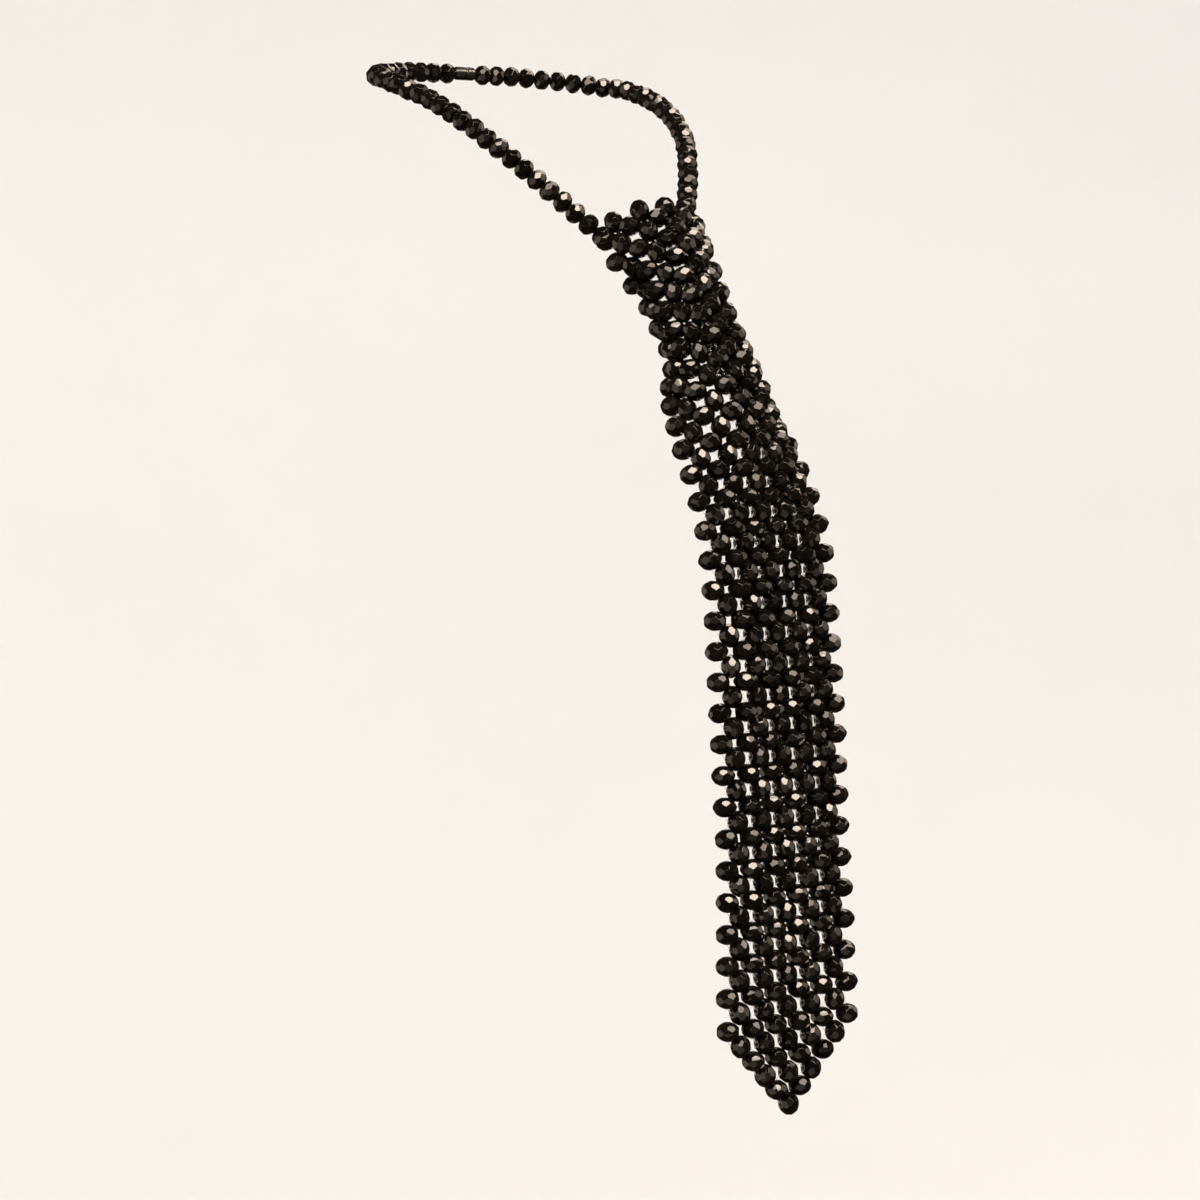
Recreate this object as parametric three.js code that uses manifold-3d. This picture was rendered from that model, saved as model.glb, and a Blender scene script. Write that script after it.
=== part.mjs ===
// A necktie necklace: one strand of faceted black glass beads round the neck, and a tie-shaped net of
// the same beads hanging from it. The net is a square weave: a bead lies on every side of every cell,
// and the thread turns from bead to bead at the cell corners.
//
// Millimetres, +Z up, front towards -Y. The origin is the middle of the clasp, at the nape.
import * as THREE from 'three';
import Module from 'manifold-3d';

// ---- Driving dimensions ----------------------------------------------------------------------

const BEAD_DIAMETER = 8.8;
const BEAD_LENGTH = 6.9; // along the hole
const BELLY = 0.14; // from a bead's middle to either end of its widest part, as a share of its length
const TIGHT_BELLY = 0.06; // the same in the knot, where the beads lie closest
const TIGHT_ROWS = 8;
const THREAD_DIAMETER = 1.1;
const PIECE_GAP = 0.35; // left between two pieces

const COLUMNS = 5; // cells across the net
const ROWS = 30; // rows of upright beads, each one bead wider than the net is in cells
const CURLED_ROWS = 14; // rows from the top whose two sides curl back far enough to be pieces of their own
const ROWS_PER_PANEL = 2;
const KNOT_TOP = new THREE.Vector3(0, -162.4, -68.8); // middle of the top row of upright beads

// How the net hangs, row by row from the knot's top edge down: its lean back from upright going up, the
// step from row to row, the width of a cell, the angle through which the whole width curls back, and the
// further angle through which each edge column folds back. The more the net curls, the narrower the tie:
// that makes the knot, the waist and the widening blade.
const SECTIONS = [
  { row: 0, lean: 38, step: 10.2, cell: 11.4, curl: 145, foldLeft: 0, foldRight: 0 },
  { row: 3, lean: 36, step: 10.2, cell: 11.5, curl: 246, foldLeft: 0, foldRight: 0 },
  { row: 5, lean: 36, step: 10.3, cell: 11.4, curl: 256, foldLeft: 0, foldRight: 0 },
  { row: 8, lean: 23, step: 11.1, cell: 11.2, curl: 144, foldLeft: 6, foldRight: 6 },
  { row: 11, lean: 17, step: 11.8, cell: 10.8, curl: 34, foldLeft: 7, foldRight: 9 },
  { row: 14, lean: 13, step: 12.1, cell: 10.75, curl: -24, foldLeft: 23, foldRight: 10 },
  { row: 17, lean: 7, step: 12.1, cell: 10.85, curl: -4, foldLeft: 24, foldRight: 5 },
  { row: 20, lean: 4, step: 12.25, cell: 11.1, curl: -2, foldLeft: 14, foldRight: 4 },
  { row: 23, lean: 4, step: 12.55, cell: 11.1, curl: 0, foldLeft: 7, foldRight: 4 },
  { row: 26, lean: 1, step: 12.55, cell: 11.5, curl: -5, foldLeft: 7, foldRight: 3 },
  { row: 29, lean: 2, step: 13.2, cell: 11.6, curl: -6, foldLeft: 7, foldRight: -8 },
];

// The strand holds the net by its two top corners, so the first rows sag between them.
const SAG = 1.5;
const SAG_ROWS = 6;

// The strand's route up one side of the neck, from the knot's top corner to the middle of the clasp.
const STRAND_ROUTE = [
  { out: 18.4, back: -143.3, up: -78.6 },
  { out: 27.4, back: -134.4, up: -67.9 },
  { out: 41.5, back: -117.0, up: -49.5 },
  { out: 53.4, back: -96.9, up: -32.3 },
  { out: 60.8, back: -72.4, up: -18.6 },
  { out: 64.4, back: -42.0, up: -8.5 },
  { out: 57.0, back: -21.5, up: -4.6 },
  { out: 37.5, back: -6.6, up: -1.6 },
  { out: 16.0, back: -0.8, up: -0.2 },
  { out: 0, back: 0, up: 0 },
];
const STRAND_BEADS = 30; // on each side
const SINGLE_BEADS = 12; // of them, from the knot up, that are pieces of their own
const STRETCH_BEADS = 6; // in each joined stretch behind them

const CLASP_LENGTH = 13;
const CLASP_DIAMETER = 6;

const THREAD_SIDES = 3;
const BEAD_SIDES = 4;

// ---- Materials -------------------------------------------------------------------------------

const GLASS = new THREE.MeshStandardMaterial({ color: 0x0c0b0c, roughness: 0.08, metalness: 0 });
const CLASP_METAL = new THREE.MeshStandardMaterial({ color: 0x2a2829, roughness: 0.3, metalness: 1 });

// ---- The net's surface -----------------------------------------------------------------------

// One column of the table at any row, as a smooth curve that never swings past the table's values.
function section(column, row) {
  const last = SECTIONS.length - 1;
  const at = THREE.MathUtils.clamp(row, SECTIONS[0].row, SECTIONS[last].row);
  let i = 0;
  while (i < last - 1 && at > SECTIONS[i + 1].row) i += 1;
  const slope = (k) =>
    (SECTIONS[k + 1][column] - SECTIONS[k][column]) / (SECTIONS[k + 1].row - SECTIONS[k].row);
  const tangent = (k) => {
    if (k === 0 || k === last || slope(k - 1) * slope(k) <= 0) return 0;
    return (2 * slope(k - 1) * slope(k)) / (slope(k - 1) + slope(k));
  };
  const span = SECTIONS[i + 1].row - SECTIONS[i].row;
  const t = (at - SECTIONS[i].row) / span;
  const rise = SECTIONS[i + 1][column] - SECTIONS[i][column];
  const ease = t * t * (3 - 2 * t);
  const leave = t * (1 - t) * (1 - t) * span * tangent(i);
  const arrive = t * t * (1 - t) * span * tangent(i + 1);
  return SECTIONS[i][column] + rise * ease + leave - arrive;
}

// The net's middle line, as one point every half row from a row above the top.
const HALF_STEP = 0.5; // of a row or of a cell
const SPINE_START = -1;
const SPINE_POINTS = 2 * (ROWS + 4);
const spine = [KNOT_TOP.clone()];
for (let i = 1; i < SPINE_POINTS; i += 1) {
  const middle = (i - HALF_STEP) * HALF_STEP;
  const lean = THREE.MathUtils.degToRad(section('lean', middle));
  const reach = HALF_STEP * section('step', middle);
  spine.push(spine[i - 1].clone().add(new THREE.Vector3(0, -reach * Math.sin(lean), -reach * Math.cos(lean))));
}
for (let i = 0; i > 2 * SPINE_START; i -= 1) {
  const lean = THREE.MathUtils.degToRad(section('lean', 0));
  const reach = HALF_STEP * section('step', 0);
  const up = new THREE.Vector3(0, reach * Math.sin(lean), reach * Math.cos(lean));
  spine.unshift(spine[0].clone().add(up));
}

// How far back the net is turned at a place across it, from facing straight out.
function turnedBack(across, row) {
  const edge = COLUMNS / 2 - 1;
  let turn = (section('curl', row) * across) / COLUMNS;
  if (across < -edge) turn -= section('foldLeft', row);
  if (across > edge) turn += section('foldRight', row);
  return THREE.MathUtils.degToRad(turn);
}

// A place on the net: across in cells from the middle, and down in rows from the top row. The way there
// leaves the middle line by half cells, each turned back a little further than the one before it.
function netPlace(across, row) {
  const lean = THREE.MathUtils.degToRad(section('lean', row));
  const outward = new THREE.Vector3(0, -Math.cos(lean), Math.sin(lean));
  const facing = (turn) => new THREE.Vector3(Math.sin(turn), 0, 0).addScaledVector(outward, Math.cos(turn));
  const side = Math.sign(across);
  const halfCell = HALF_STEP * section('cell', row);
  const point = spine[2 * (row - SPINE_START)].clone();
  for (let walked = 0; walked < Math.abs(across); walked += HALF_STEP) {
    const turn = turnedBack(side * (walked + HALF_STEP / 2), row);
    point.x += side * halfCell * Math.cos(turn);
    point.addScaledVector(outward, -side * halfCell * Math.sin(turn));
  }
  const fading = Math.max(0, 1 - (row + HALF_STEP) / SAG_ROWS);
  point.z -= SAG * fading ** 2 * (1 - (2 * across / COLUMNS) ** 2);
  return { point, normal: facing(turnedBack(across, row)) };
}

// ---- Beads and thread ------------------------------------------------------------------------

// A bead is its middle, the way the thread runs through it, the side of it that faces out and its belly.
function bead(middle, start, end, row) {
  const axis = end.point.clone().sub(start.point).normalize();
  return { middle: middle.point, axis, normal: middle.normal, belly: row < TIGHT_ROWS ? TIGHT_BELLY : BELLY };
}

// The beads of one strip in the order that the thread takes them: even places are upright beads on the
// lines between columns, odd places are level beads in the columns, below and above the row in turn.
function stripBead(place, row) {
  if (place % 2 === 0) {
    const across = (place - COLUMNS) / 2;
    const top = netPlace(across, row - HALF_STEP);
    const bottom = netPlace(across, row + HALF_STEP);
    const down = place % 4 === 0;
    return bead(netPlace(across, row), down ? top : bottom, down ? bottom : top, row);
  }
  const across = (place - COLUMNS) / 2;
  const level = place % 4 === 1 ? row + HALF_STEP : row - HALF_STEP;
  return bead(netPlace(across, level), netPlace(across - 0.5, level), netPlace(across + 0.5, level), row);
}

const beadEnd = (b, side) => b.middle.clone().addScaledVector(b.axis, (side * BEAD_LENGTH) / 2);

// A ring of points round an axis, with the angle of each from the side that faces out.
function ring(centre, axis, normal, radius, sides, turn) {
  const side = new THREE.Vector3().crossVectors(axis, normal).normalize();
  const up = new THREE.Vector3().crossVectors(side, axis);
  const points = [];
  const angles = [];
  for (let k = 0; k < sides; k += 1) {
    const angle = turn + (2 * Math.PI * k) / sides;
    const point = centre.clone().addScaledVector(up, radius * Math.cos(angle));
    points.push(point.addScaledVector(side, radius * Math.sin(angle)));
    angles.push(angle);
  }
  return { points, angles };
}

const threadRing = (centre, axis, normal) => ring(centre, axis, normal, THREAD_DIAMETER / 2, THREAD_SIDES, 0);

// A bead's four rings: the rims of its hole, and two shoulders turned half a side apart.
function beadRings(b, sides) {
  const shoulder = (side, turn) => {
    const centre = b.middle.clone().addScaledVector(b.axis, side * b.belly * BEAD_LENGTH);
    return ring(centre, b.axis, b.normal, BEAD_DIAMETER / 2, sides, turn);
  };
  return [
    threadRing(beadEnd(b, -1), b.axis, b.normal),
    shoulder(-1, 0),
    shoulder(1, Math.PI / sides),
    threadRing(beadEnd(b, 1), b.axis, b.normal),
  ];
}

// One closed skin over rings in a row, each facing along its own axis.
function loft(rings) {
  const position = [];
  const index = [];
  const first = rings.map(({ points }) => {
    const start = position.length / 3;
    points.forEach((p) => position.push(p.x, p.y, p.z));
    return start;
  });
  const corner = (r, k) => first[r] + (k % rings[r].points.length);
  for (let k = 1; k < rings[0].points.length - 1; k += 1) index.push(corner(0, 0), corner(0, k + 1), corner(0, k));
  for (let r = 1; r < rings.length; r += 1) {
    const from = rings[r - 1].angles;
    const to = rings[r].angles;
    const angleOf = (angles, k) => angles[k % angles.length] + 2 * Math.PI * Math.floor(k / angles.length);
    let i = 0;
    let j = 0;
    while (i < from.length || j < to.length) {
      const nextFrom = i < from.length ? angleOf(from, i) + angleOf(from, i + 1) : Infinity;
      const nextTo = j < to.length ? angleOf(to, j) + angleOf(to, j + 1) : Infinity;
      if (nextFrom <= nextTo) {
        index.push(corner(r - 1, i), corner(r - 1, i + 1), corner(r, j));
        i += 1;
      } else {
        index.push(corner(r - 1, i), corner(r, j + 1), corner(r, j));
        j += 1;
      }
    }
  }
  const last = rings.length - 1;
  for (let k = 1; k < rings[last].points.length - 1; k += 1) {
    index.push(corner(last, 0), corner(last, k), corner(last, k + 1));
  }
  const geometry = new THREE.BufferGeometry();
  geometry.setAttribute('position', new THREE.BufferAttribute(new Float32Array(position), 3));
  geometry.setIndex(index);
  return geometry;
}

// Beads strung on their thread, with a loose end of thread towards a place at either end of the chain.
function chain(beads, sides, { startTowards = null, endTowards = null } = {}) {
  const rings = beads.flatMap((b) => beadRings(b, sides));
  const looseEnd = (b, side, towards) => {
    const from = beadEnd(b, side);
    const way = towards.place.clone().sub(from);
    const length = way.length() - towards.shortOf;
    way.normalize();
    return threadRing(from.clone().addScaledVector(way, length), way.clone().multiplyScalar(side), b.normal);
  };
  if (startTowards) rings.unshift(looseEnd(beads[0], -1, startTowards));
  if (endTowards) rings.push(looseEnd(beads[beads.length - 1], 1, endTowards));
  return loft(rings);
}

// ---- Joining solids --------------------------------------------------------------------------

const wasm = await Module();
wasm.setup();

function solid(geometry) {
  const vertProperties = new Float32Array(geometry.getAttribute('position').array);
  const triVerts = new Uint32Array(geometry.getIndex().array);
  return new wasm.Manifold(new wasm.Mesh({ numProp: 3, vertProperties, triVerts }));
}

function joined(geometries) {
  const whole = geometries.map(solid).reduce((sum, next) => sum.add(next));
  const { vertProperties, triVerts } = whole.getMesh();
  const geometry = new THREE.BufferGeometry();
  geometry.setAttribute('position', new THREE.BufferAttribute(new Float32Array(vertProperties), 3));
  geometry.setIndex([...triVerts]);
  return geometry;
}

// ---- Pieces ----------------------------------------------------------------------------------

const necklace = new THREE.Group();

function addPiece(name, geometry, material = GLASS) {
  geometry.computeVertexNormals();
  const mesh = new THREE.Mesh(geometry, material);
  mesh.name = name;
  necklace.add(mesh);
}

const number = (n) => String(n).padStart(2, '0');

// Where the thread crosses the corner between two neighbouring places of a strip.
function cornerThread(place, row) {
  return beadEnd(stripBead(place, row), 1).lerp(beadEnd(stripBead(place + 1, row), -1), 0.5);
}

const LAST_PLACE = 2 * COLUMNS;
const CLEAR = 0.8 * THREAD_DIAMETER + PIECE_GAP; // from thread middle to thread middle

// A place a little way inside one end of a bead, for a thread that joins there.
const insideEnd = (b, side) => b.middle.clone().addScaledVector(b.axis, side * 0.28 * BEAD_LENGTH);

// The loose end at the top of a strip's first or last upright bead: it reaches the strip above, and
// either runs into that strip's level bead or stops short of its thread.
function towardsRowAbove(place, row, joins) {
  const levelPlace = place === 0 ? 1 : LAST_PLACE - 1;
  const side = place === 0 ? -1 : 1;
  const level = stripBead(levelPlace, row - 1);
  if (joins) return { place: insideEnd(level, side), shortOf: 0 };
  if (row === 0) return { place: beadEnd(level, side), shortOf: CLEAR };
  return { place: cornerThread(place === 0 ? 0 : LAST_PLACE - 1, row - 1), shortOf: CLEAR };
}

// A strip of the net from one place to another.
function strip(from, to, row, ends) {
  const beads = [];
  for (let place = from; place <= to; place += 1) beads.push(stripBead(place, row));
  return chain(beads, BEAD_SIDES, ends);
}

// Two or more strips, one below the other, as one piece that spans the given places.
function panel(name, from, to, topRow) {
  const strips = [];
  for (let row = topRow; row < topRow + ROWS_PER_PANEL; row += 1) {
    const joins = row > topRow;
    const ends = {};
    if (from === 0) ends.startTowards = towardsRowAbove(0, row, joins);
    else if (to === LAST_PLACE) ends.endTowards = towardsRowAbove(LAST_PLACE, row, joins);
    if (to < LAST_PLACE) ends.endTowards = { place: beadEnd(stripBead(to + 1, row), -1), shortOf: CLEAR };
    strips.push(strip(from, to, row, ends));
  }
  addPiece(name, joined(strips));
}

function addNet() {
  const LEFT_HALF_END = COLUMNS;
  for (let row = 0; row < ROWS; row += ROWS_PER_PANEL) {
    const panelNumber = number(row / ROWS_PER_PANEL + 1);
    if (row < CURLED_ROWS) {
      panel(`net_left_${panelNumber}`, 0, LEFT_HALF_END, row);
      panel(`net_right_${panelNumber}`, LEFT_HALF_END + 1, LAST_PLACE, row);
    } else {
      panel(`net_${panelNumber}`, 0, LAST_PLACE, row);
    }
  }
}

// The level beads of the top edge that no strip takes, in the first, middle and last column. The thread
// of the middle one reaches for the upright bead beside it, and those of the others are the net's own.
function addTopEdge() {
  const beside = beadEnd(stripBead(COLUMNS - 1, 0), -1);
  const ends = { middle: { startTowards: { place: beside, shortOf: CLEAR } } };
  const places = { left: 1, middle: COLUMNS, right: LAST_PLACE - 1 };
  for (const [name, place] of Object.entries(places)) {
    addPiece(`top_edge_${name}`, chain([stripBead(place, -1)], BEAD_SIDES, ends[name]));
  }
}

// The point of the tie: a strip three cells wide, and one that ends in the lowest bead.
function addPoint() {
  const tieThread = (level, side, corner) => {
    const from = insideEnd(level, side);
    const way = corner.clone().sub(from);
    const end = from.clone().addScaledVector(way.clone().normalize(), way.length() - CLEAR);
    return loft([threadRing(from, way, level.normal), threadRing(end, way, level.normal)]);
  };
  const upperTie = tieThread(stripBead(3, ROWS), -1, cornerThread(1, ROWS - 1));
  const lowerTie = tieThread(stripBead(3, ROWS + 1), 1, cornerThread(4, ROWS));
  addPiece('point_upper', joined([strip(2, LAST_PLACE - 2, ROWS, {}), upperTie]));
  addPiece('point_lower', joined([strip(3, LAST_PLACE - 3, ROWS + 1, {}), lowerTie]));
}

// The strand up one side: single beads from the knot, then short stretches round to the clasp.
function addStrand(name, side) {
  const points = STRAND_ROUTE.map(({ out, back, up }) => new THREE.Vector3(side * out, back, up));
  const route = new THREE.CatmullRomCurve3(points, false, 'centripetal');
  const STRAND_END = CLASP_LENGTH / 2 + PIECE_GAP;
  const length = route.getLength();
  const pitch = (length - STRAND_END + PIECE_GAP) / STRAND_BEADS;
  const beads = [];
  for (let i = 0; i < STRAND_BEADS; i += 1) {
    const at = (distance) => route.getPointAt(distance / length);
    const along = BEAD_LENGTH / 2 + i * pitch;
    const axis = at(along + BEAD_LENGTH / 2).sub(at(along - BEAD_LENGTH / 2)).normalize();
    beads.push({ middle: at(along), axis, normal: new THREE.Vector3(0, 0, 1), belly: BELLY });
  }
  const place = side < 0 ? 0 : LAST_PLACE;
  const knotCorner = beadEnd(stripBead(place, 0), side < 0 ? -1 : 1);
  for (let i = 0; i < SINGLE_BEADS; i += 1) {
    const ends = i === 0 ? { startTowards: { place: knotCorner, shortOf: CLEAR } } : {};
    addPiece(`strand_${name}_${number(i + 1)}`, chain([beads[i]], BEAD_SIDES, ends));
  }
  for (let i = SINGLE_BEADS; i < STRAND_BEADS; i += STRETCH_BEADS) {
    const stretch = number((i - SINGLE_BEADS) / STRETCH_BEADS + 1);
    addPiece(`nape_${name}_${stretch}`, chain(beads.slice(i, i + STRETCH_BEADS), BEAD_SIDES));
  }
}

// A plain barrel that closes the loop at the nape.
function addClasp() {
  const SIDES = 8;
  const half = CLASP_LENGTH / 2;
  const radius = CLASP_DIAMETER / 2;
  const profile = [
    [0, -half],
    [0.4 * radius, -half],
    [radius, -0.7 * half],
    [radius, 0.7 * half],
    [0.4 * radius, half],
    [0, half],
  ];
  const turned = new THREE.LatheGeometry(profile.map(([x, y]) => new THREE.Vector2(x, y)), SIDES);
  turned.rotateZ(-Math.PI / 2);
  addPiece('clasp', turned, CLASP_METAL);
}

addTopEdge();
addNet();
addPoint();
addStrand('left', -1);
addStrand('right', 1);
addClasp();

export default necklace;
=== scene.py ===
import math
import random

import bmesh
import bpy
from mathutils import Matrix, Vector


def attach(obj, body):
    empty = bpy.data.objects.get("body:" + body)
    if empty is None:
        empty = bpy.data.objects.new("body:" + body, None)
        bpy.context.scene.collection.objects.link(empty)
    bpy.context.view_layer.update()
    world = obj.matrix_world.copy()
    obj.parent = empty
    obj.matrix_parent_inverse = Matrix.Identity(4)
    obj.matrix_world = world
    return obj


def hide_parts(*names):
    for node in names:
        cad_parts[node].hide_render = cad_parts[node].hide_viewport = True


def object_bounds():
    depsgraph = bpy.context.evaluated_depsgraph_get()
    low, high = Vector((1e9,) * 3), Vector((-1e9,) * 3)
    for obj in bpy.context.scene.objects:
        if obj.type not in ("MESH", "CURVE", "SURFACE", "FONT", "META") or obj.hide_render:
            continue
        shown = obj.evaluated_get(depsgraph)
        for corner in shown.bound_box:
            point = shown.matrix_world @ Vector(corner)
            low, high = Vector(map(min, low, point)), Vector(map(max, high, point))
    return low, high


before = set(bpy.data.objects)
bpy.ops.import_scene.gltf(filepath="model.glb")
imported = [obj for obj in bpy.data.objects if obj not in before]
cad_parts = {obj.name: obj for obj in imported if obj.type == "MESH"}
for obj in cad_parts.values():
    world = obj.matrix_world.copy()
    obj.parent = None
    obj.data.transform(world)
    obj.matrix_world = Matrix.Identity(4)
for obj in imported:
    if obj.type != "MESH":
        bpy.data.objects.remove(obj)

cad_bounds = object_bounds()
MM = 0.001

# ---- Sizes shared with the solids, in millimetres --------------------------------------------

BEAD_LENGTH = 6.9  # along the hole
COLUMNS = 5
ROWS = 30
CURLED_ROWS = 14
ROWS_PER_PANEL = 2
LAST_PLACE = 2 * COLUMNS
KNOT_TOP = Vector((0, -162.4, -68.8))
SAG = 1.5
SAG_ROWS = 6
SECTION_NAMES = ("row", "lean", "step", "cell", "curl", "fold_left", "fold_right")
SECTIONS = [
    dict(zip(SECTION_NAMES, values))
    for values in (
        (0, 38, 10.2, 11.4, 145, 0, 0),
        (3, 36, 10.2, 11.5, 246, 0, 0),
        (5, 36, 10.3, 11.4, 256, 0, 0),
        (8, 23, 11.1, 11.2, 144, 6, 6),
        (11, 17, 11.8, 10.8, 34, 7, 9),
        (14, 13, 12.1, 10.75, -24, 23, 10),
        (17, 7, 12.1, 10.85, -4, 24, 5),
        (20, 4, 12.25, 11.1, -2, 14, 4),
        (23, 4, 12.55, 11.1, 0, 7, 4),
        (26, 1, 12.55, 11.5, -5, 7, 3),
        (29, 2, 13.2, 11.6, -6, 7, -8),
    )
]
# The strand's route up one side of the neck: out from the middle, back, up.
STRAND_ROUTE = (
    (18.4, -143.3, -78.6),
    (27.4, -134.4, -67.9),
    (41.5, -117.0, -49.5),
    (53.4, -96.9, -32.3),
    (60.8, -72.4, -18.6),
    (64.4, -42.0, -8.5),
    (57.0, -21.5, -4.6),
    (37.5, -6.6, -1.6),
    (16.0, -0.8, -0.2),
    (0, 0, 0),
)
STRAND_BEADS = 30  # on each side
SINGLE_BEADS = 12  # of them, that are pieces of their own
STRETCH_BEADS = 6
CLASP_LENGTH = 13
CLASP_DIAMETER = 6


# ---- The net's surface -----------------------------------------------------------------------

def section(column, row):
    """One column of the section table at any row, as a smooth curve."""
    last = len(SECTIONS) - 1
    at = min(max(row, SECTIONS[0]["row"]), SECTIONS[last]["row"])
    i = 0
    while i < last - 1 and at > SECTIONS[i + 1]["row"]:
        i += 1

    def slope(k):
        return (SECTIONS[k + 1][column] - SECTIONS[k][column]) / (SECTIONS[k + 1]["row"] - SECTIONS[k]["row"])

    def tangent(k):
        if k in (0, last) or slope(k - 1) * slope(k) <= 0:
            return 0
        return 2 * slope(k - 1) * slope(k) / (slope(k - 1) + slope(k))

    span = SECTIONS[i + 1]["row"] - SECTIONS[i]["row"]
    t = (at - SECTIONS[i]["row"]) / span
    rise = SECTIONS[i + 1][column] - SECTIONS[i][column]
    leave = t * (1 - t) ** 2 * span * tangent(i)
    arrive = t * t * (1 - t) * span * tangent(i + 1)
    return SECTIONS[i][column] + rise * t * t * (3 - 2 * t) + leave - arrive


def spine_step(row, way):
    """The step of half a row along the middle line, down the net (-1) or up it (1)."""
    lean = math.radians(section("lean", row))
    reach = 0.5 * section("step", row)
    return Vector((0, way * reach * math.sin(lean), way * reach * math.cos(lean)))


def net_spine():
    """The net's middle line, one point every half row from one row above the top."""
    points = [KNOT_TOP.copy()]
    for i in range(1, 2 * (ROWS + 4)):
        points.append(points[-1] + spine_step((i - 0.5) * 0.5, -1))
    for _ in range(2):
        points.insert(0, points[0] + spine_step(0, 1))
    return points


SPINE = net_spine()


def turned_back(across, row):
    """How far back the net is turned at a place across it, from facing straight out."""
    edge = COLUMNS / 2 - 1
    turn = section("curl", row) * across / COLUMNS
    if across < -edge:
        turn -= section("fold_left", row)
    if across > edge:
        turn += section("fold_right", row)
    return math.radians(turn)


def net_place(across, row):
    """A place on the net: across in cells from the middle, down in rows from the top row."""
    lean = math.radians(section("lean", row))
    outward = Vector((0, -math.cos(lean), math.sin(lean)))
    sideways = Vector((1, 0, 0))
    side = math.copysign(1, across)
    half_cell = 0.5 * section("cell", row)
    point = SPINE[int(2 * (row + 1))].copy()
    for k in range(round(2 * abs(across))):
        turn = turned_back(side * (k + 0.5) / 2, row)
        point += side * half_cell * (sideways * math.cos(turn) - outward * math.sin(turn))
    turn = turned_back(across, row)
    fading = max(0, 1 - (row + 0.5) / SAG_ROWS)
    point.z -= SAG * fading**2 * (1 - (2 * across / COLUMNS) ** 2)
    return point, sideways * math.sin(turn) + outward * math.cos(turn)


def strip_bead(place, row):
    """Middle, hole direction and outward side of one bead of a strip."""
    across = (place - COLUMNS) / 2
    if place % 2 == 0:
        start, end = net_place(across, row - 0.5)[0], net_place(across, row + 0.5)[0]
        middle, normal = net_place(across, row)
    else:
        level = row + 0.5 if place % 4 == 1 else row - 0.5
        start, end = net_place(across - 0.5, level)[0], net_place(across + 0.5, level)[0]
        middle, normal = net_place(across, level)
    return middle, (end - start).normalized(), normal


# ---- The strand's route ----------------------------------------------------------------------

def smooth_route(points, steps=60):
    """A centripetal curve through the points, finely sampled."""
    ends = [2 * points[0] - points[1], *points, 2 * points[-1] - points[-2]]
    route = []
    for a, b, c, d in zip(ends, ends[1:], ends[2:], ends[3:]):
        gap_a, gap_b, gap_c = ((q - p).length ** 0.5 for p, q in ((a, b), (b, c), (c, d)))
        leave = ((b - a) / gap_a - (c - a) / (gap_a + gap_b) + (c - b) / gap_b) * gap_b
        arrive = ((c - b) / gap_b - (d - b) / (gap_b + gap_c) + (d - c) / gap_c) * gap_b
        for k in range(steps):
            t = k / steps
            cubic = 2 * b - 2 * c + leave + arrive
            square = -3 * b + 3 * c - 2 * leave - arrive
            route.append(b + leave * t + square * t * t + cubic * t**3)
    return [*route, points[-1]]


class Route:
    """A line through points, with its places found by their distance along it."""

    def __init__(self, points):
        self.points = points
        self.travelled = [0.0]
        for p, q in zip(points, points[1:]):
            self.travelled.append(self.travelled[-1] + (q - p).length)
        self.length = self.travelled[-1]

    def at(self, distance):
        i = 0
        while i < len(self.points) - 2 and self.travelled[i + 1] < distance:
            i += 1
        share = (distance - self.travelled[i]) / (self.travelled[i + 1] - self.travelled[i])
        return self.points[i].lerp(self.points[i + 1], share)


def strand_beads(side):
    """Middle, hole direction and upper side of the beads on one side, from the knot to the clasp."""
    route = Route(smooth_route([Vector((side * out, back, up)) for out, back, up in STRAND_ROUTE]))
    pitch = (route.length - CLASP_LENGTH / 2) / STRAND_BEADS
    beads = []
    for i in range(STRAND_BEADS):
        along = BEAD_LENGTH / 2 + i * pitch
        axis = (route.at(along + BEAD_LENGTH / 2) - route.at(along - BEAD_LENGTH / 2)).normalized()
        beads.append((route.at(along), axis, Vector((0, 0, 1))))
    return beads


# ---- Which beads make which piece ------------------------------------------------------------

def net_places():
    """The strips' places and rows of every net piece."""
    pieces = {
        "top_edge_left": [(1, -1)],
        "top_edge_middle": [(COLUMNS, -1)],
        "top_edge_right": [(LAST_PLACE - 1, -1)],
    }
    for top in range(0, ROWS, ROWS_PER_PANEL):
        panel = f"{top // ROWS_PER_PANEL + 1:02d}"
        spans = {"net_": range(LAST_PLACE + 1)}
        if top < CURLED_ROWS:
            spans = {"net_left_": range(COLUMNS + 1), "net_right_": range(COLUMNS + 1, LAST_PLACE + 1)}
        for prefix, span in spans.items():
            pieces[prefix + panel] = [(place, row) for row in (top, top + 1) for place in span]
    pieces["point_upper"] = [(place, ROWS) for place in range(2, LAST_PLACE - 1)]
    pieces["point_lower"] = [(place, ROWS + 1) for place in range(3, LAST_PLACE - 2)]
    return pieces


# A bead's half width and half length where two beads press against each other.
PRESSED_WIDTH = 4.45
PRESSED_LENGTH = 3.7
# How far a bead strays from its place before it settles.
NET_LOOSENESS = 0.25
STRAND_LOOSENESS = 0.08
SETTLING_ROUNDS = 40
NEIGHBOURS_WITHIN = 10  # between the middles of two beads that can press against each other
PUSH = 0.4  # the share of an overlap that each bead of a pair gives way by in a round
PULL = 0.03  # the share of the way home that the thread draws a bead in a round
BEAD_REACH = 4.75  # from a bead's middle to its farthest corner


def reach_towards(axis, way):
    """How far a bead on that axis reaches from its middle in a direction."""
    along = axis.dot(way) ** 2
    return math.sqrt(PRESSED_WIDTH**2 * (1 - along) + PRESSED_LENGTH**2 * along)


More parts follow.
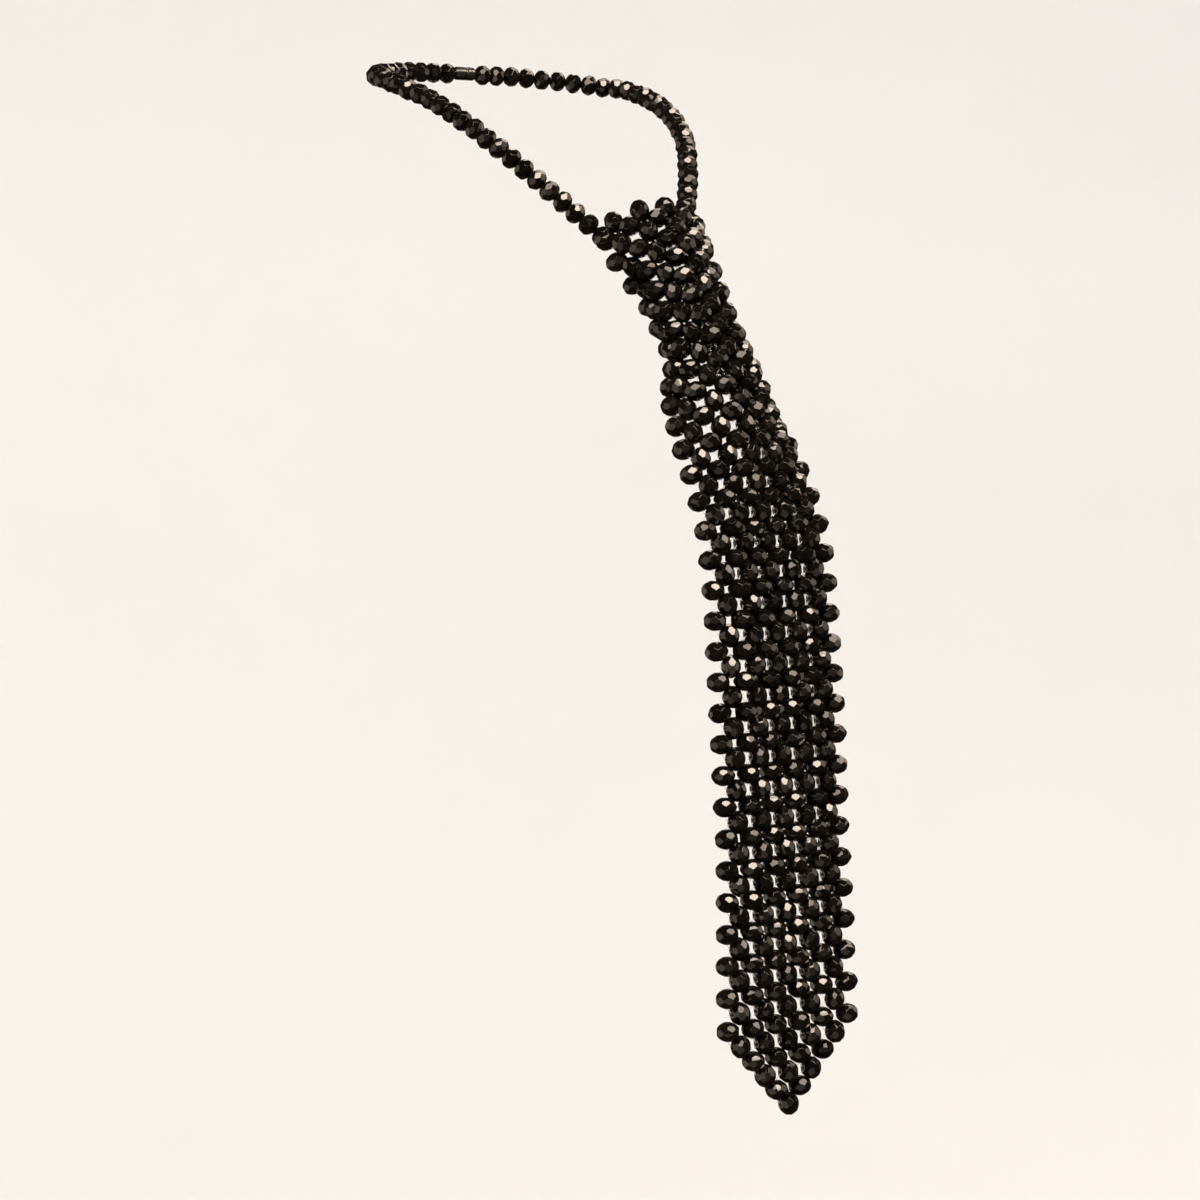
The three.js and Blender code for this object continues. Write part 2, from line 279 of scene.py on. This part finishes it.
def inside_solids(point):
    """The nearest place where a bead keeps inside the solids' box."""
    low, high = ([v / MM for v in corner] for corner in cad_bounds)
    return Vector([min(max(v, a + BEAD_REACH), b - BEAD_REACH) for v, a, b in zip(point, low, high)])


def settle(beads, looseness):
    """The beads strayed a little from their places and pushed clear of each other."""
    chance = random.Random("settling")
    home = [middle for middle, _, _ in beads]
    at = [p + Vector([chance.uniform(-far, far) for _ in range(3)]) for p, far in zip(home, looseness)]
    everyone = range(len(at))
    pairs = [(i, k) for i in everyone for k in range(i) if (home[i] - home[k]).length < NEIGHBOURS_WITHIN]
    for _ in range(SETTLING_ROUNDS):
        for i, k in pairs:
            way = (at[i] - at[k]).normalized()
            reach = reach_towards(beads[i][1], way) + reach_towards(beads[k][1], way)
            short = reach - (at[i] - at[k]).length
            if short > 0:
                at[i] += way * short * PUSH
                at[k] -= way * short * PUSH
        at = [p.lerp(q, PULL) for p, q in zip(at, home)]
    return [(inside_solids(p), axis, normal) for p, (_, axis, normal) in zip(at, beads)]


def settled_necklace():
    """The net's beads by place and row, and the two sides of the strand by name."""
    places = [at for piece in net_places().values() for at in piece]
    beads = [strip_bead(*at) for at in places] + strand_beads(-1) + strand_beads(1)
    looseness = [NET_LOOSENESS] * len(places) + [STRAND_LOOSENESS] * 2 * STRAND_BEADS
    beads = settle(beads, looseness)
    left, right = beads[-2 * STRAND_BEADS:-STRAND_BEADS], beads[-STRAND_BEADS:]
    return dict(zip(places, beads)), {"left": left, "right": right}


NET, STRANDS = settled_necklace()


def necklace_pieces():
    """The beads of every piece, by the piece's name."""
    pieces = {name: [NET[at] for at in places] for name, places in net_places().items()}
    for name, beads in STRANDS.items():
        for i in range(SINGLE_BEADS):
            pieces[f"strand_{name}_{i + 1:02d}"] = [beads[i]]
        for k, i in enumerate(range(SINGLE_BEADS, STRAND_BEADS, STRETCH_BEADS)):
            pieces[f"nape_{name}_{k + 1:02d}"] = beads[i:i + STRETCH_BEADS]
    return pieces


# ---- Faceted beads ---------------------------------------------------------------------------

FACETS_ROUND = 8
WAIST_FLAT = 4.5  # from the hole's line to a facet of the middle row
END_FLAT = 3.85  # from the bead's middle to its end face
CROWN_FLAT = END_FLAT * 1.03  # the same for facets that would look straight along the hole
FACET_ROWS = ((0, 0.0), (33, 0.5), (-33, 0.5), (61, 0.0), (-61, 0.0))  # degrees up, turn in facets
UNEVEN_DEPTH = 0.014  # how unevenly the facets are ground, as a share of their depth
UNEVEN_ANGLE = math.radians(2.2)
EDGE = 0.16  # width of the rounded edges
PILLOW = 0.014  # how much a facet bulges, as a tilt of its edges
# The rings of a drilled end, from its edge to the hole: how far in from the last one, and how far out of it.
DRILLED = ((0.62, 0), (0.14, -0.12), (0.03, -0.9))
END_FLATNESS = 0.999  # how squarely a face looks along the hole to be an end
END_AREA = 2  # in square millimetres, and the least that an end has
BLOCK = 12  # side of the block that a bead is cut from


def cut_bead(chance):
    """A bead cut from a block by its facet planes, its edges rounded, its two ends drilled."""
    bm = bmesh.new()
    bmesh.ops.create_cube(bm, size=BLOCK)

    def cut(normal, distance):
        geom = [*bm.verts, *bm.edges, *bm.faces]
        point = normal * distance
        made = bmesh.ops.bisect_plane(bm, geom=geom, plane_co=point, plane_no=normal, clear_outer=True)
        edges = [e for e in made["geom_cut"] if isinstance(e, bmesh.types.BMEdge)]
        bmesh.ops.edgeloop_fill(bm, edges=edges)

    for up, turn in FACET_ROWS:
        for k in range(FACETS_ROUND):
            tilt = math.radians(up) + chance.uniform(-UNEVEN_ANGLE, UNEVEN_ANGLE)
            angle = 2 * math.pi * (k + turn) / FACETS_ROUND + chance.uniform(-UNEVEN_ANGLE, UNEVEN_ANGLE)
            distance = math.hypot(WAIST_FLAT * math.cos(tilt), CROWN_FLAT * math.sin(tilt))
            flat = Vector((math.cos(angle), math.sin(angle), 0))
            normal = flat * math.cos(tilt) + Vector((0, 0, math.sin(tilt)))
            cut(normal, distance * (1 - chance.uniform(0, 2 * UNEVEN_DEPTH)))
    for end in (1, -1):
        cut(Vector((0, 0, end)), END_FLAT)
    bmesh.ops.remove_doubles(bm, verts=bm.verts, dist=0.01)
    bmesh.ops.bevel(bm, geom=[*bm.edges], offset=EDGE / 2, segments=1, affect="EDGES")
    ends = [f for f in bm.faces if abs(f.normal.z) > END_FLATNESS and f.calc_area() > END_AREA]
    for thickness, depth in DRILLED:
        bmesh.ops.inset_individual(bm, faces=ends, thickness=thickness, depth=depth)
    bm.normal_update()
    points, normals = [], []
    bm.verts.index_update()
    for vert in bm.verts:
        widest = max(vert.link_faces, key=lambda f: f.calc_area())
        points.append(vert.co.copy())
        normals.append((widest.normal + PILLOW * (vert.co - widest.calc_center_median())).normalized())
    faces = [[v.index for v in f.verts] for f in bm.faces]
    bm.free()
    return points, normals, faces


BEAD_SHAPES = [cut_bead(random.Random(k)) for k in range(7)]


# ---- Shader nodes ----------------------------------------------------------------------------

class Socket:
    """A shader value that can be used in sums and products."""

    def __init__(self, material, output):
        self.material = material
        self.output = output

    def _maths(self, operation, first, second):
        return self.material.node("ShaderNodeMath", {"operation": operation}, [first, second])

    def __add__(self, other):
        return self._maths("ADD", self, other)

    def __radd__(self, other):
        return self._maths("ADD", other, self)

    def __mul__(self, other):
        return self._maths("MULTIPLY", self, other)

    def __rmul__(self, other):
        return self._maths("MULTIPLY", other, self)


class Material:
    """A node material whose shader is the Principled one."""

    def __init__(self, name, **constants):
        self.made = bpy.data.materials.new(name)
        self.made.use_nodes = True
        self.tree = self.made.node_tree
        self.shader = self.tree.nodes["Principled BSDF"]
        for socket, value in constants.items():
            self.shader.inputs[socket.replace("_", " ")].default_value = value

    def node(self, kind, settings=None, values=(), output=0):
        """A node of that kind: its settings first, then its sockets by place or by name."""
        made = self.tree.nodes.new(kind)
        for setting, value in (settings or {}).items():
            if setting == "stops":
                self._stops(made.color_ramp, value)
            else:
                setattr(made, setting, value)
        pairs = values.items() if isinstance(values, dict) else enumerate(values)
        for socket, value in pairs:
            self._feed(made.inputs[socket], value)
        return Socket(self, made.outputs[output])

    def feed(self, socket, value):
        self._feed(self.shader.inputs[socket], value)

    def _feed(self, socket, value):
        if isinstance(value, Socket):
            self.tree.links.new(value.output, socket)
        else:
            socket.default_value = value

    @staticmethod
    def _stops(ramp, stops):
        while len(ramp.elements) > len(stops):
            ramp.elements.remove(ramp.elements[-1])
        while len(ramp.elements) < len(stops):
            ramp.elements.new(1)
        for element, (place, colour) in zip(ramp.elements, stops):
            element.position = place
            element.color = colour

    def place(self):
        return self.node("ShaderNodeTexCoord", output="Object")

    def noise(self, size, detail=2, roughness=0.5, by=0):
        """Noise whose lumps are about that many millimetres wide."""
        values = {"Vector": self.place(), "Scale": 1 / (size * MM), "Detail": detail, "Roughness": roughness}
        return self.node("ShaderNodeTexNoise", {"noise_dimensions": "3D"}, values, by)

    def ramp(self, value, *stops):
        return self.node("ShaderNodeValToRGB", {"stops": stops}, [value])

    def between(self, value, low, high, to_low, to_high):
        values = {"Value": value, "From Min": low, "From Max": high, "To Min": to_low, "To Max": to_high}
        return self.node("ShaderNodeMapRange", {"clamp": True}, values)

    def bump(self, height, distance, strength=1.0):
        values = {"Height": height, "Distance": distance * MM, "Strength": strength}
        self.feed("Normal", self.node("ShaderNodeBump", {}, values))


def black_glass():
    glass = Material("black_glass", IOR=1.52, Specular_IOR_Level=0.5)
    tone = glass.node("ShaderNodeAttribute", {"attribute_name": "tone"}, output="Fac")
    cloud = glass.noise(2.4, 3)
    depth = glass.between(tone * 0.7 + cloud * 0.3, 0.1, 0.9, 0, 1)
    dark, light = (0.0009, 0.0007, 0.0005, 1), (0.0032, 0.0023, 0.0016, 1)
    glass.feed("Base Color", glass.ramp(depth, (0, dark), (1, light)))
    smear = glass.noise(1.1, 4, 0.6)
    glass.feed("Roughness", glass.between(smear + tone * 0.5, 0.6, 1.2, 0.02, 0.06))
    glass.bump(glass.noise(2.5, 1), 0.0025)
    return glass.made


def clear_nylon():
    nylon = Material("clear_nylon", IOR=1.3, Transmission_Weight=1.0)
    nylon.feed("Base Color", nylon.ramp(nylon.noise(1.5), (0, (0.93, 0.93, 0.92, 1)), (1, (1, 1, 1, 1))))
    nylon.feed("Roughness", nylon.between(nylon.noise(0.6), 0.3, 0.7, 0.05, 0.2))
    return nylon.made


def dark_steel():
    steel = Material("dark_steel", Metallic=1.0)
    cloud = steel.noise(3, 3)
    steel.feed("Base Color", steel.ramp(cloud, (0.3, (0.05, 0.048, 0.05, 1)), (0.8, (0.11, 0.105, 0.1, 1))))
    steel.feed("Roughness", steel.between(steel.noise(0.4, 4), 0.3, 0.7, 0.18, 0.38))
    steel.bump(steel.noise(0.25, 3), 0.01)
    return steel.made


# ---- Meshes ----------------------------------------------------------------------------------

def add_object(name, points, faces, material, normals=None, tones=None):
    """A mesh object from points in millimetres."""
    mesh = bpy.data.meshes.new(name)
    mesh.from_pydata([p * MM for p in points], [], faces)
    mesh.materials.append(material)
    if tones:
        mesh.attributes.new("tone", "FLOAT", "POINT").data.foreach_set("value", tones)
    mesh.shade_smooth()
    if normals:
        mesh.normals_split_custom_set_from_vertices(normals)
    made = bpy.data.objects.new(name, mesh)
    bpy.context.scene.collection.objects.link(made)
    return made


MOST_TILT = math.radians(7)
# The largest bead of a piece, by the first word of its name, as a share of the bead cut above.
LARGEST = {"net": 1.0, "point": 1.0, "top": 1.0, "strand": 0.965, "nape": 0.965}
SMALLEST = 0.985  # the smallest bead, as a share of the largest


def bead_turn(axis, normal, chance):
    """The way a bead sits on its thread: turned at random about it, and a little askew."""
    side = axis.cross(normal).normalized()
    upright = Matrix((side.cross(axis), side, axis)).transposed()
    askew = Matrix.Rotation(chance.uniform(-MOST_TILT, MOST_TILT), 3, "X")
    askew = askew @ Matrix.Rotation(chance.uniform(-MOST_TILT, MOST_TILT), 3, "Y")
    return upright @ askew @ Matrix.Rotation(chance.uniform(0, 2 * math.pi), 3, "Z")


def add_beads(name, beads, material, chance):
    points, normals, faces, tones = [], [], [], []
    for middle, axis, normal in beads:
        shape_points, shape_normals, shape_faces = chance.choice(BEAD_SHAPES)
        turn = bead_turn(axis, normal, chance)
        size = LARGEST[name.split("_")[0]] * chance.uniform(SMALLEST, 1.0)
        first = len(points)
        points += [middle + turn @ (p * size) for p in shape_points]
        normals += [turn @ n for n in shape_normals]
        faces += [[first + k for k in face] for face in shape_faces]
        tones += [chance.random()] * len(shape_points)
    return add_object(name, points, faces, material, normals, tones)


# ---- Thread ----------------------------------------------------------------------------------

THREAD_RADIUS = 0.2
STRAND_THREAD_RADIUS = 1.4 * THREAD_RADIUS
MOUTH = BEAD_LENGTH / 2 - 0.7  # from a bead's middle to where the thread shows in its hole
CUT_CORNER = 0.25  # how much of a cell's corner the thread cuts off where it turns


def tube(points, radius, sides, out_points, out_faces):
    """Adds a closed tube along the points."""
    first = len(out_points)
    side = None
    for i, point in enumerate(points):
        way = (points[min(i + 1, len(points) - 1)] - points[max(i - 1, 0)]).normalized()
        if side is None:
            side = way.orthogonal().normalized()
        side = (side - way * side.dot(way)).normalized()
        other = way.cross(side)
        for k in range(sides):
            angle = 2 * math.pi * k / sides
            out_points.append(point + (side * math.cos(angle) + other * math.sin(angle)) * radius)
    for i in range(len(points) - 1):
        for k in range(sides):
            a, b = first + i * sides + k, first + i * sides + (k + 1) % sides
            out_faces.append([a, b, b + sides, a + sides])
    out_faces.append([first + k for k in reversed(range(sides))])
    out_faces.append([len(out_points) - sides + k for k in range(sides)])


def corner_turns():
    """Where the thread turns from an upright bead into a level one, at every corner of every cell."""
    uprights, levels = {}, {}
    for (place, row), bead in NET.items():
        if place % 2 == 0:
            uprights[place // 2, row] = bead
        else:
            levels[place // 2, row + 0.5 if place % 4 == 1 else row - 0.5] = bead

    def mouth(bead, corner):
        middle, axis, _ = bead
        side = 1 if axis.dot(corner - middle) > 0 else -1
        return middle + axis * side * MOUTH

    turns = []
    for k in range(COLUMNS + 1):
        for half in range(ROWS + 3):
            level = half - 0.5
            corner = net_place(k - COLUMNS / 2, level)[0]
            for row in (level - 0.5, level + 0.5):
                for column in (k - 1, k):
                    if (k, row) in uprights and (column, level) in levels:
                        start = mouth(uprights[k, row], corner)
                        end = mouth(levels[column, level], corner)
                        turns.append((start, corner.lerp((start + end) / 2, CUT_CORNER), end))
    return turns


def bent(start, corner, end, steps=6):
    """A curve from start to end that is drawn towards the corner."""
    curve = []
    for i in range(steps + 1):
        t = i / steps
        curve.append(start * (1 - t) ** 2 + corner * 2 * t * (1 - t) + end * t * t)
    return curve


def add_net_thread(material):
    points, faces = [], []
    for turn in corner_turns():
        tube(bent(*turn), THREAD_RADIUS, 5, points, faces)
    return add_object("net_thread", points, faces, material)


def add_strand_thread(material):
    points, faces = [], []
    for name, side, place in (("left", -1, 0), ("right", 1, LAST_PLACE)):
        middle, axis, _ = NET[place, 0]
        path = [middle + axis * side * MOUTH]
        for bead_middle, bead_axis, _ in STRANDS[name]:
            path += [bead_middle - bead_axis * BEAD_LENGTH / 2, bead_middle + bead_axis * BEAD_LENGTH / 2]
        path.append(Vector((side * (CLASP_LENGTH / 2 - 1), 0, 0)))
        tube(path, STRAND_THREAD_RADIUS, 6, points, faces)
    return add_object("strand_thread", points, faces, material)


# ---- Clasp -----------------------------------------------------------------------------------

def add_clasp(material):
    """A screw barrel that closes the loop: two turned halves, a ribbed grip on each, rounded ends."""
    half, radius, sides = CLASP_LENGTH / 2, CLASP_DIAMETER / 2, 48
    outline = [(0.0, 0.36), (0.18, 0.42), (0.5, 0.44), (0.62, 0.5), (1.1, 0.74), (1.7, 0.9), (2.2, 0.94)]
    x = 2.3
    while x < 5.2:
        outline += [(x, 0.99), (x + 0.12, 0.99), (x + 0.2, 0.93), (x + 0.32, 0.93)]
        x += 0.4
    outline += [(5.55, 0.96), (6.1, 0.99), (6.3, 0.99), (6.42, 0.93), (half, 0.93)]
    profile = [(x - half, r * radius) for x, r in outline]
    profile += [(half - x, r * radius) for x, r in reversed(outline[:-1])]
    points, faces = [], []
    for x, r in profile:
        for k in range(sides):
            angle = 2 * math.pi * k / sides
            points.append(Vector((x, r * math.cos(angle), r * math.sin(angle))))
    for i in range(len(profile) - 1):
        for k in range(sides):
            a, b = i * sides + k, i * sides + (k + 1) % sides
            faces.append([a, b, b + sides, a + sides])
    faces.append(list(reversed(range(sides))))
    faces.append([len(points) - sides + k for k in range(sides)])
    return add_object("clasp_barrel", points, faces, material)


# ---- The necklace ----------------------------------------------------------------------------

glass = black_glass()
nylon = clear_nylon()
for piece_name, piece_beads in necklace_pieces().items():
    piece = add_beads(piece_name + "_beads", piece_beads, glass, random.Random(piece_name))
    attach(piece, "root")
    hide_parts(piece_name)
for piece in (add_net_thread(nylon), add_strand_thread(nylon)):
    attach(piece, "root")
clasp = add_clasp(dark_steel())
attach(clasp, "root")
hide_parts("clasp")


# ---- Stage, light and camera -----------------------------------------------------------------

# In metres and degrees. A bearing's azimuth is 0 in front of the tie and grows towards +X.
STAGE_MIDDLE = Vector((0, -0.13, 0))
FLOOR = -1.25
WALL_RADIUS = 3.6
WALL_TOP = 3.2
SWEEP = 1.2  # radius of the curve between floor and wall
SWEEP_STEPS = 12
VIEW_AZIMUTH = -33.95
VIEW_ELEVATION = 5.65
VIEW_AIM = Vector((-0.0626, -0.2038, -0.2206))
VIEW_DISTANCE = 1.1367
LENS = 86.85  # in millimetres, as the sensor's width
SENSOR = 36
LIGHT_AIM = Vector((0, -0.19, -0.25))
WARM = (1, 0.83, 0.67)
SOFTBOX_NAMES = ("name", "azimuth", "elevation", "distance", "width", "height", "brightness", "colour")
SOFTBOXES = [
    dict(zip(SOFTBOX_NAMES, values))
    for values in (
        ("key", -12, 58, 1.7, 0.95, 0.7, 13, WARM),
        ("key_wings", -12, 58, 1.8, 2.8, 0.6, 7, WARM),
        ("front_card", -20, 8, 2.3, 2.0, 1.4, 0.25, WARM),
        ("side_card", 75, 20, 2.2, 2.8, 1.6, 1.5, WARM),
        ("low_card", -50, -30, 2.0, 2.2, 1.2, 0.6, WARM),
        ("left_card", -114, -4, 2.2, 3.4, 2.2, 1.1, WARM),
        ("back_card", 150, -8, 2.3, 2.4, 1.6, 0.25, WARM),
        ("rear", 130, 45, 2.4, 1.4, 1.4, 3.2, WARM),
        ("wash", -34, 45, 2.9, 2.0, 2.0, 9.5, (1, 0.99, 0.955)),
    )
]


def bearing(azimuth, elevation):
    a, e = math.radians(azimuth), math.radians(elevation)
    return Vector((math.sin(a) * math.cos(e), -math.cos(a) * math.cos(e), math.sin(e)))


def looking_back_along(way):
    return (-way).to_track_quat("-Z", "Y")


def stage_paper(name, shade, low, high):
    """Matt paper whose colour runs between two shades."""
    paper = Material(name, Roughness=0.9, Specular_IOR_Level=0.1)
    paper.feed("Base Color", paper.ramp(shade(paper), (0.3, low), (0.7, high)))
    return paper.made


def cloudy(paper):
    return paper.noise(400, 2)


def painted_shade_under_the_necklace(paper):
    """Painted shade on the floor: darkest below the necklace, fading out to where the floor meets the wall's
    curve.
    """
    flat = paper.node("ShaderNodeVectorMath", {"operation": "MULTIPLY"}, [paper.place(), (1, 1, 0)])
    reach = paper.node("ShaderNodeVectorMath", {"operation": "LENGTH"}, [flat], "Value")
    return paper.between(reach, 0, WALL_RADIUS - SWEEP, 0.2, 0.7)


def add_sweep(name, start, end, material):
    """Part of a round wall that curves into the floor, between two bearings."""
    profile = []
    for k in range(SWEEP_STEPS + 1):
        angle = math.pi / 2 * k / SWEEP_STEPS
        profile.append((WALL_RADIUS - SWEEP * (1 - math.sin(angle)), FLOOR + SWEEP * (1 - math.cos(angle))))
    profile.append((WALL_RADIUS, WALL_TOP))
    steps = 48
    points = []
    for i in range(steps + 1):
        way = bearing(start + (end - start) * i / steps, 0)
        points += [(STAGE_MIDDLE + way * r + Vector((0, 0, z))) / MM for r, z in profile]
    width = len(profile)
    faces = []
    for i in range(steps):
        for k in range(width - 1):
            a = i * width + k
            faces.append([a, a + 1, a + width + 1, a + width])
    return add_object(name, points, faces, material)


def add_floor(material):
    sides = 96
    middle = STAGE_MIDDLE + Vector((0, 0, FLOOR))
    points = [(middle + bearing(360 * k / sides, 0) * (WALL_RADIUS - SWEEP)) / MM for k in range(sides)]
    return add_object("floor", points, [list(range(sides))], material)


def add_softbox(name, azimuth, elevation, distance, width, height, brightness, colour):
    """A rectangular light aimed at the necklace from that bearing."""
    lamp = bpy.data.lights.new(name, "AREA")
    lamp.shape = "RECTANGLE"
    lamp.size, lamp.size_y = width, height
    lamp.energy = brightness * math.pi * width * height
    lamp.color = colour
    made = bpy.data.objects.new(name, lamp)
    bpy.context.scene.collection.objects.link(made)
    way = bearing(azimuth, elevation)
    made.location = LIGHT_AIM + way * distance
    made.rotation_mode = "QUATERNION"
    made.rotation_quaternion = looking_back_along(way)
    made.visible_camera = False
    return made


def add_camera():
    lens = bpy.data.cameras.new("camera")
    lens.sensor_width = SENSOR
    lens.lens = LENS
    lens.clip_start = 0.05
    lens.clip_end = 50
    made = bpy.data.objects.new("camera", lens)
    bpy.context.scene.collection.objects.link(made)
    way = bearing(VIEW_AZIMUTH, VIEW_ELEVATION)
    made.location = VIEW_AIM + way * VIEW_DISTANCE
    made.rotation_mode = "QUATERNION"
    made.rotation_quaternion = looking_back_along(way)
    bpy.context.scene.camera = made


def add_world(colour, strength):
    world = bpy.data.worlds.new("studio")
    world.use_nodes = True
    background = world.node_tree.nodes["Background"]
    background.inputs["Color"].default_value = (*colour, 1)
    background.inputs["Strength"].default_value = strength
    bpy.context.scene.world = world


paper = stage_paper("pale_paper", cloudy, (0.845, 0.87, 0.9, 1), (0.855, 0.88, 0.91, 1))
# The floor paper is painted darker below the necklace as painted shade, and pales to the wall's colour at its
# edge.
floor_painted_shade_and_paper = (0.55, 0.56, 0.575, 1), (0.85, 0.875, 0.905, 1)
floor_paper = stage_paper("floor_paper", painted_shade_under_the_necklace, *floor_painted_shade_and_paper)
far = add_sweep("backdrop_far", VIEW_AZIMUTH + 90, VIEW_AZIMUTH + 270, paper)
near = add_sweep("backdrop_near", VIEW_AZIMUTH - 90, VIEW_AZIMUTH + 90, paper)
floor = add_floor(floor_paper)
# The beads mirror the lights and the cards alone, as between black flags in a studio.
for sheet in (far, near, floor):
    sheet.visible_glossy = False
near.visible_diffuse = False
add_camera()
bpy.context.scene.view_settings.view_transform = "Standard"
add_world((1, 0.86, 0.74), 0.05)
lights = {row["name"]: add_softbox(**row) for row in SOFTBOXES}
lights["wash"].visible_glossy = False
